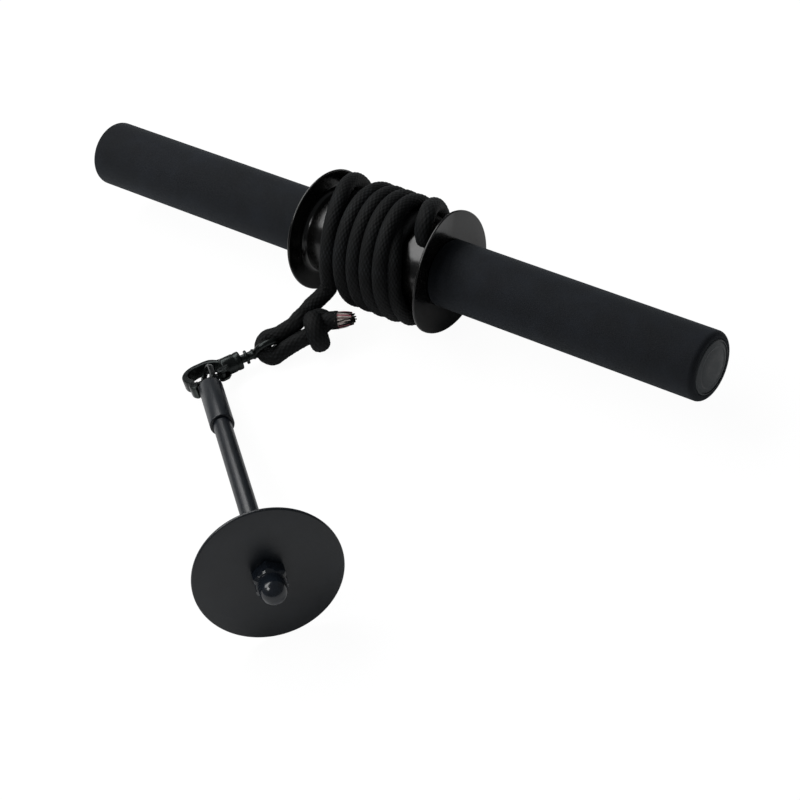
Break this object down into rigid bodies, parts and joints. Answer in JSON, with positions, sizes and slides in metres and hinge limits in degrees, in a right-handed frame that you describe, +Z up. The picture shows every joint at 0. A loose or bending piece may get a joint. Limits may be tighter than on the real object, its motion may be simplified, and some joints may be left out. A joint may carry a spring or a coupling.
{
  "type": "wrist roller",
  "caption": "Wrist roller: a bar with two foam grips, a rope spool in its middle, and a snap hook that carries a loading pin with a round load disc.",
  "frame": {"origin": "on the floor, below the middle of the object without its knotted rope end", "axes": "+X along the bar to the right, +Y from the loading pin to the bar, +Z up"},
  "size_m": [0.424, 0.289, 0.0743],
  "materials": {
    "bright_steel": "bare drawn steel",
    "grip_foam": "matte closed-cell foam",
    "plug_plastic": "scuffed grey-black plastic",
    "black_enamel": "glossy black enamel on steel",
    "black_rope": "braided black rope",
    "frayed_rope": "cut rope end, frayed black sleeve over pale and red core strands",
    "black_zinc": "black plated cast metal, slightly worn",
    "satin_black_steel": "satin black coated steel"
  },
  "bodies": {
    "roller": {"bar_tube": "bright_steel", "left_grip": "grip_foam", "left_end_plug": "plug_plastic", "right_grip": "grip_foam", "right_end_plug": "plug_plastic", "spool_drum": "black_enamel", "left_flange": "black_enamel", "right_flange": "black_enamel", "spool_lock_pin": "bright_steel", "rope_inner_turns": "black_rope", "rope_winding": "black_rope", "rope_anchor_knot": "black_rope"},
    "leash": {"rope_lead": "black_rope", "rope_knot": "black_rope", "rope_loop": "black_rope", "rope_tail": "frayed_rope"},
    "swivel": {"swivel_eye": "black_zinc"},
    "hook": {"hook_body": "black_zinc", "gate_pin": "bright_steel"},
    "gate": {"hook_gate": "black_zinc"},
    "pin": {"pin_eye": "black_zinc", "pin_sleeve": "satin_black_steel", "pin_rod": "satin_black_steel", "load_disc": "satin_black_steel", "disc_jam_nut": "black_zinc", "acorn_nut": "satin_black_steel"}
  },
  "joints": [
    {"name": "rope_swing", "type": "hinge", "parent": "roller", "child": "leash", "pos_m": [-0.0146, 0.07733, 0.024], "axis": [-1, 0, 0], "range_deg": [0, 30]},
    {"name": "eye_turn", "type": "hinge", "parent": "leash", "child": "swivel", "pos_m": [-0.0337, 0.03456, 0.0083], "axis": [-0.7638, 0.409, 0.4993], "range_deg": [0, 30]},
    {"name": "hook_swivel", "type": "hinge", "parent": "swivel", "child": "hook", "pos_m": [-0.0337, 0.03456, 0.0083], "axis": [-0.4978, -0.8657, -0.0523], "continuous": true},
    {"name": "gate_pivot", "type": "hinge", "parent": "hook", "child": "gate", "pos_m": [-0.04251, 0.0059, 0.00818], "axis": [0.2058, -0.0593, -0.9768], "range_deg": [0, 24], "stiffness_Nm_per_rad": 0.07, "springref_deg": -28.65},
    {"name": "pin_swing", "type": "hinge", "parent": "hook", "child": "pin", "pos_m": [-0.04677, -0.00152, 0.00773], "axis": [-0.5823, -0.6219, 0.5236], "range_deg": [0, 30]}
  ]
}
